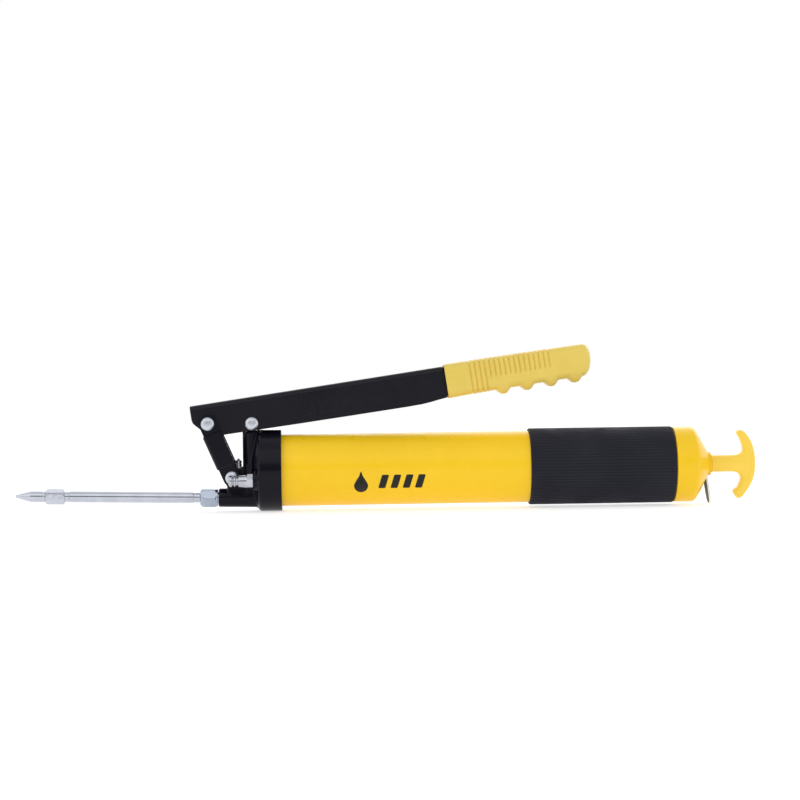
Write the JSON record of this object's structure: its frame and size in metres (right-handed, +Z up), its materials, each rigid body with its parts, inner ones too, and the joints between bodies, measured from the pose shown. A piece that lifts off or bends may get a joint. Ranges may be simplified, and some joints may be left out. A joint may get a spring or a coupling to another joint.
{
  "type": "lever grease gun",
  "caption": "Hand lever grease gun: cylindrical barrel with ribbed sleeve, toggle-linked lever above, rigid nozzle pipe, sprung follower with pull rod and T-handle.",
  "frame": {"origin": "bottom centre of the bounding box, under the barrel on the plane the head collar stands on", "axes": "+X along the barrel from the nozzle to the T-handle, +Z up with the lever above the barrel, +Y across the gun away from the filler nipple"},
  "size_m": [0.5898, 0.0644, 0.1293],
  "materials": {
    "yellow_paint": "gloss",
    "yellow_plastic": "satin",
    "yellow_vinyl": "satin",
    "black_paint": "gloss",
    "black_rubber": "matte",
    "nitrile": "matte",
    "bright_zinc": "satin",
    "nickel_plate": "polished",
    "pin_steel": "satin",
    "bearing_steel": "polished",
    "spring_steel": "satin",
    "ground_steel": "satin",
    "chrome": "polished"
  },
  "bodies": {
    "gun": {"pump_head": "black_paint", "head_gasket": "nitrile", "plunger_seal": "nitrile", "extension_pipe": "bright_zinc", "pipe_nut": "bright_zinc", "nozzle_adaptor": "bright_zinc", "nozzle_tip": "bright_zinc", "outlet_check_spring": "spring_steel", "filler_nipple": "nickel_plate", "filler_spring": "spring_steel", "bleeder_body": "bright_zinc", "bleeder_spring": "spring_steel", "lower_link_pin": "pin_steel", "lower_link_pin_ring": "spring_steel", "barrel": "yellow_paint", "barrel_sleeve": "black_rubber", "rear_cap": "yellow_paint", "spring_seat": "ground_steel", "lock_spring": "spring_steel", "follower_spring": "spring_steel"},
    "link": {"toggle_link": "black_paint"},
    "lever": {"lever": "black_paint", "lever_grip": "yellow_vinyl", "upper_link_pin": "pin_steel", "upper_link_pin_ring": "spring_steel", "plunger_pin": "pin_steel", "plunger_pin_ring": "spring_steel"},
    "plunger": {"plunger": "ground_steel"},
    "follower": {"follower_cup": "nitrile", "follower_front_plate": "ground_steel", "follower_back_plate": "ground_steel"},
    "rod": {"follower_rod": "ground_steel", "follower_nut": "bright_zinc", "t_handle": "yellow_plastic"},
    "lock_tab": {"rod_lock_tab": "chrome"},
    "outlet_ball": {"outlet_check_ball": "bearing_steel"},
    "filler_ball": {"filler_check_ball": "bearing_steel"},
    "bleed_stem": {"bleeder_stem": "bearing_steel"}
  },
  "joints": [
    {"name": "link_hinge", "type": "hinge", "parent": "gun", "child": "link", "pos_m": [-0.123, 0, 0.027], "axis": [0, -1, 0], "range_deg": [-12.2, 0]},
    {"name": "lever_hinge", "type": "hinge", "parent": "link", "child": "lever", "pos_m": [-0.1416, 0, 0.0698], "axis": [0, -1, 0], "range_deg": [0, 60]},
    {"name": "plunger_slide", "type": "slide", "parent": "gun", "child": "plunger", "axis": [0, 0, 1], "range_m": [0, 0.0298]},
    {"name": "follower_slide", "type": "slide", "parent": "gun", "child": "follower", "axis": [1, 0, 0], "range_m": [0, 0.23], "stiffness_N_per_m": 120, "springref_m": -0.2, "deforming": ["follower_spring"]},
    {"name": "rod_turn", "type": "hinge", "parent": "follower", "child": "rod", "pos_m": [0.2596, 0, 0.0322], "axis": [1, 0, 0], "range_deg": [-90, 90]},
    {"name": "lock_tab_hinge", "type": "hinge", "parent": "gun", "child": "lock_tab", "pos_m": [0.2519, 0, 0.0432], "axis": [0, 1, 0], "range_deg": [0, 8], "stiffness_Nm_per_rad": 0.1, "springref_deg": -11.46, "deforming": ["lock_spring"]},
    {"name": "outlet_check_slide", "type": "slide", "parent": "gun", "child": "outlet_ball", "axis": [-0.9998, 0, 0.0213], "range_m": [0, 0.0012], "stiffness_N_per_m": 60, "springref_m": -0.002, "deforming": ["outlet_check_spring"]},
    {"name": "filler_check_slide", "type": "slide", "parent": "gun", "child": "filler_ball", "axis": [1, 0, -0.0087], "range_m": [0, 0.0013], "stiffness_N_per_m": 50, "springref_m": -0.002, "deforming": ["filler_spring"]},
    {"name": "bleeder_slide", "type": "slide", "parent": "gun", "child": "bleed_stem", "axis": [0, 0, -1], "range_m": [0, 0.0012], "stiffness_N_per_m": 100, "springref_m": -0.003, "deforming": ["bleeder_spring"]}
  ],
  "couplings": [
    {"joint": "link_hinge", "follows": "lever_hinge", "ratio": -0.2025},
    {"joint": "plunger_slide", "follows": "lever_hinge", "m_per_rad": 0.02836}
  ]
}
